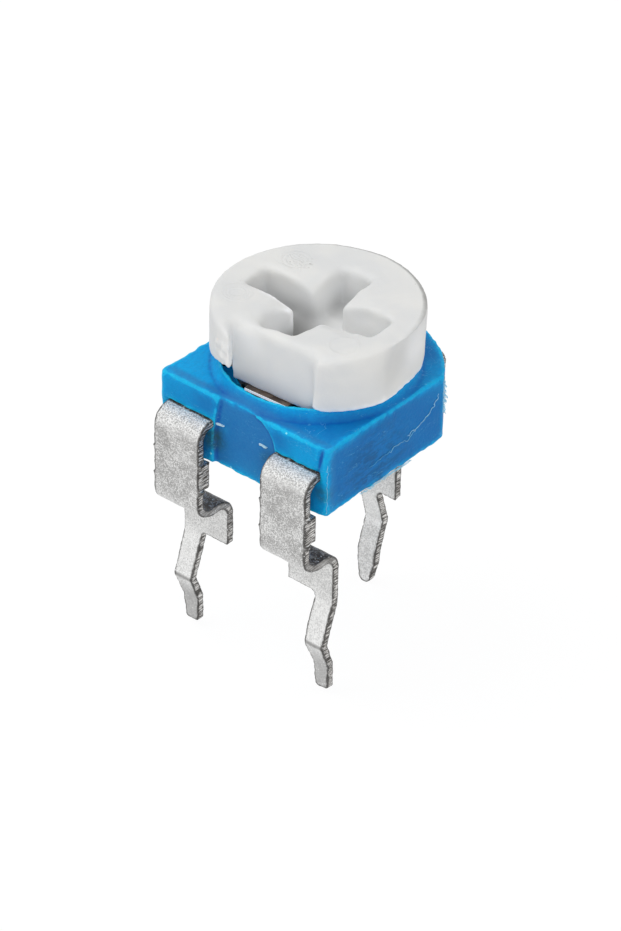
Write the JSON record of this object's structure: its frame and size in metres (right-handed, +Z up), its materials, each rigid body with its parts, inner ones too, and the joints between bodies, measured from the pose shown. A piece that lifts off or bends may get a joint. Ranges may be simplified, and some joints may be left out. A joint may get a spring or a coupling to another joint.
{
  "type": "trimmer potentiometer",
  "caption": "Small single-turn trimmer potentiometer: a low square housing with a rounded back on formed flat terminals with kinked legs, topped by a notched round rotor with a cross recess.",
  "frame": {"origin": "on the rotor's axis, in the plane of the terminals' shoulders, where the part seats on a circuit board", "axes": "+Z up out of the board along the rotor's axis, -Y towards the two front terminals, +X to the right as seen from the front"},
  "size_m": [0.0062, 0.0081, 0.0113],
  "materials": {
    "housing_blue": "satin moulded blue plastic, slightly translucent at its thin edges",
    "rotor_white": "matt off-white moulded plastic with faint moulding marks",
    "tinned_steel": "matt mottled tin plate with sheared edges",
    "phenolic": "brown phenolic laminate",
    "carbon": "printed carbon film",
    "silver_print": "printed silver film",
    "rivet_metal": "plain tinned rivet",
    "wiper_metal": "thin dull spring sheet with sheared edges"
  },
  "bodies": {
    "base": {"housing": "housing_blue", "element_board": "phenolic", "carbon_track": "carbon", "end_pad_left": "silver_print", "end_pad_right": "silver_print", "rivet_left": "rivet_metal", "rivet_right": "rivet_metal", "terminal_left": "tinned_steel", "terminal_right": "tinned_steel", "terminal_rear": "tinned_steel"},
    "rotor": {"rotor": "rotor_white", "wiper": "wiper_metal"}
  },
  "joints": [
    {"name": "rotor_turn", "type": "hinge", "parent": "base", "child": "rotor", "pos_m": [0, 0, 0.006], "axis": [0, 0, 1], "range_deg": [-116.5, 111.5]}
  ]
}
